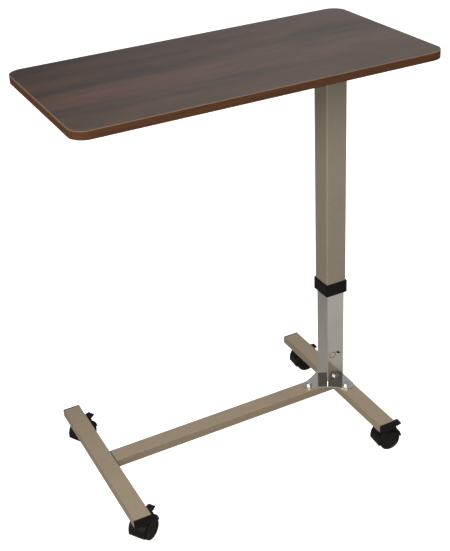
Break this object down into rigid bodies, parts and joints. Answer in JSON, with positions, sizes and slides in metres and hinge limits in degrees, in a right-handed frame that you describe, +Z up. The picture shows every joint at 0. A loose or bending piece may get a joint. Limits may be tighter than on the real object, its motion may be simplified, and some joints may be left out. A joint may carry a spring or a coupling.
{
  "type": "overbed table",
  "caption": "Height-adjustable overbed table: one-sided laminated top on a telescopic square column, over an H-shaped tube base on braked twin-wheel castors.",
  "frame": {"origin": "on the floor, under the middle of the table top and of the base's depth", "axes": "+X from the free end of the top to the column end, +Y to the back, +Z up"},
  "size_m": [0.76, 0.4435, 0.92],
  "materials": {
    "walnut_laminate": "satin decor laminate, dark grey-brown walnut with fine streaks along X",
    "edge_band": "satin brown plastic edge band",
    "board": "raw particle board",
    "paint": "satin metallic champagne powder coat",
    "chrome": "bright polished",
    "chrome_rod": "ground and chromed",
    "zinc": "bright zinc plate",
    "steel": "turned",
    "black_paint": "black enamel",
    "black_plastic": "satin moulded",
    "castor_nylon": "satin moulded nylon",
    "wheel_black": "satin, slightly worn tread",
    "grip_rubber": "matt grip"
  },
  "bodies": {
    "base": {"left_foot": "paint", "spine": "paint", "right_foot": "paint", "cap_lf": "black_plastic", "cap_lb": "black_plastic", "cap_rf": "black_plastic", "cap_rb": "black_plastic", "stem_nuts": "zinc", "gusset_plate": "chrome", "plate_bolts": "zinc", "plate_washers": "zinc", "plate_nuts": "zinc", "inner_tube": "chrome", "anchor_pin": "chrome", "gas_cylinder": "black_paint", "gas_gland": "steel", "guide_block": "black_plastic", "stem_lf": "zinc", "stem_lb": "zinc", "stem_rf": "zinc", "stem_rb": "zinc"},
    "upper": {"outer_tube": "paint", "collar": "black_plastic", "head_plate": "paint", "rail_front": "paint", "rail_back": "paint", "rail_screws": "zinc", "top_board": "board", "top_laminate": "walnut_laminate", "edge_band": "edge_band", "lever_bracket": "zinc", "lever_pin": "zinc", "gas_rod": "chrome_rod", "gas_piston": "steel", "rod_nut": "zinc"},
    "lever": {"release_lever": "zinc", "lever_grip": "grip_rubber"},
    "valve": {"valve_pin": "steel"},
    "castor_lf": {"hood_lf": "castor_nylon", "axle_lf": "steel"},
    "wheel_lf_a": {"wheel_lf_a": "wheel_black"},
    "wheel_lf_b": {"wheel_lf_b": "wheel_black"},
    "pedal_lf": {"pedal_lf": "castor_nylon"},
    "castor_lb": {"hood_lb": "castor_nylon", "axle_lb": "steel"},
    "wheel_lb_a": {"wheel_lb_a": "wheel_black"},
    "wheel_lb_b": {"wheel_lb_b": "wheel_black"},
    "pedal_lb": {"pedal_lb": "castor_nylon"},
    "castor_rf": {"hood_rf": "castor_nylon", "axle_rf": "steel"},
    "wheel_rf_a": {"wheel_rf_a": "wheel_black"},
    "wheel_rf_b": {"wheel_rf_b": "wheel_black"},
    "pedal_rf": {"pedal_rf": "castor_nylon"},
    "castor_rb": {"hood_rb": "castor_nylon", "axle_rb": "steel"},
    "wheel_rb_a": {"wheel_rb_a": "wheel_black"},
    "wheel_rb_b": {"wheel_rb_b": "wheel_black"},
    "pedal_rb": {"pedal_rb": "castor_nylon"}
  },
  "joints": [
    {"name": "height_slide", "type": "slide", "parent": "base", "child": "upper", "axis": [0, 0, 1], "range_m": [-0.205, 0.18]},
    {"name": "release_hinge", "type": "hinge", "parent": "upper", "child": "lever", "pos_m": [0.261, 0, 0.895], "axis": [0, -1, 0], "range_deg": [0, 6.5], "stiffness_Nm_per_rad": 1.5},
    {"name": "valve_slide", "type": "slide", "parent": "upper", "child": "valve", "axis": [0, 0, -1], "range_m": [0, 0.0025]},
    {"name": "swivel_lf", "type": "hinge", "parent": "base", "child": "castor_lf", "pos_m": [-0.347, -0.185, 0.061], "axis": [0, 0, 1], "continuous": true},
    {"name": "roll_lf_a", "type": "hinge", "parent": "castor_lf", "child": "wheel_lf_a", "pos_m": [-0.33374, -0.17605, 0.025], "axis": [-0.5592, 0.829, 0], "continuous": true},
    {"name": "roll_lf_b", "type": "hinge", "parent": "castor_lf", "child": "wheel_lf_b", "pos_m": [-0.33374, -0.17605, 0.025], "axis": [-0.5592, 0.829, 0], "continuous": true},
    {"name": "brake_lf", "type": "hinge", "parent": "castor_lf", "child": "pedal_lf", "pos_m": [-0.32462, -0.1699, 0.0512], "axis": [-0.5592, 0.829, 0], "range_deg": [0, 15]},
    {"name": "swivel_lb", "type": "hinge", "parent": "base", "child": "castor_lb", "pos_m": [-0.347, 0.185, 0.061], "axis": [0, 0, 1], "continuous": true},
    {"name": "roll_lb_a", "type": "hinge", "parent": "castor_lb", "child": "wheel_lb_a", "pos_m": [-0.33328, 0.19324, 0.025], "axis": [-0.515, 0.8572, 0], "continuous": true},
    {"name": "roll_lb_b", "type": "hinge", "parent": "castor_lb", "child": "wheel_lb_b", "pos_m": [-0.33328, 0.19324, 0.025], "axis": [-0.515, 0.8572, 0], "continuous": true},
    {"name": "brake_lb", "type": "hinge", "parent": "castor_lb", "child": "pedal_lb", "pos_m": [-0.32386, 0.19891, 0.0512], "axis": [-0.515, 0.8572, 0], "range_deg": [0, 15]},
    {"name": "swivel_rf", "type": "hinge", "parent": "base", "child": "castor_rf", "pos_m": [0.255, -0.185, 0.061], "axis": [0, 0, 1], "continuous": true},
    {"name": "roll_rf_a", "type": "hinge", "parent": "castor_rf", "child": "wheel_rf_a", "pos_m": [0.27096, -0.18612, 0.025], "axis": [0.0698, 0.9976, 0], "continuous": true},
    {"name": "roll_rf_b", "type": "hinge", "parent": "castor_rf", "child": "wheel_rf_b", "pos_m": [0.27096, -0.18612, 0.025], "axis": [0.0698, 0.9976, 0], "continuous": true},
    {"name": "brake_rf", "type": "hinge", "parent": "castor_rf", "child": "pedal_rf", "pos_m": [0.28193, -0.18688, 0.0512], "axis": [0.0698, 0.9976, 0], "range_deg": [0, 15]},
    {"name": "swivel_rb", "type": "hinge", "parent": "base", "child": "castor_rb", "pos_m": [0.255, 0.185, 0.061], "axis": [0, 0, 1], "continuous": true},
    {"name": "roll_rb_a", "type": "hinge", "parent": "castor_rb", "child": "wheel_rb_a", "pos_m": [0.27096, 0.18388, 0.025], "axis": [0.0698, 0.9976, 0], "continuous": true},
    {"name": "roll_rb_b", "type": "hinge", "parent": "castor_rb", "child": "wheel_rb_b", "pos_m": [0.27096, 0.18388, 0.025], "axis": [0.0698, 0.9976, 0], "continuous": true},
    {"name": "brake_rb", "type": "hinge", "parent": "castor_rb", "child": "pedal_rb", "pos_m": [0.28193, 0.18312, 0.0512], "axis": [0.0698, 0.9976, 0], "range_deg": [0, 15]}
  ],
  "couplings": [
    {"joint": "valve_slide", "follows": "release_hinge", "m_per_rad": 0.022}
  ]
}
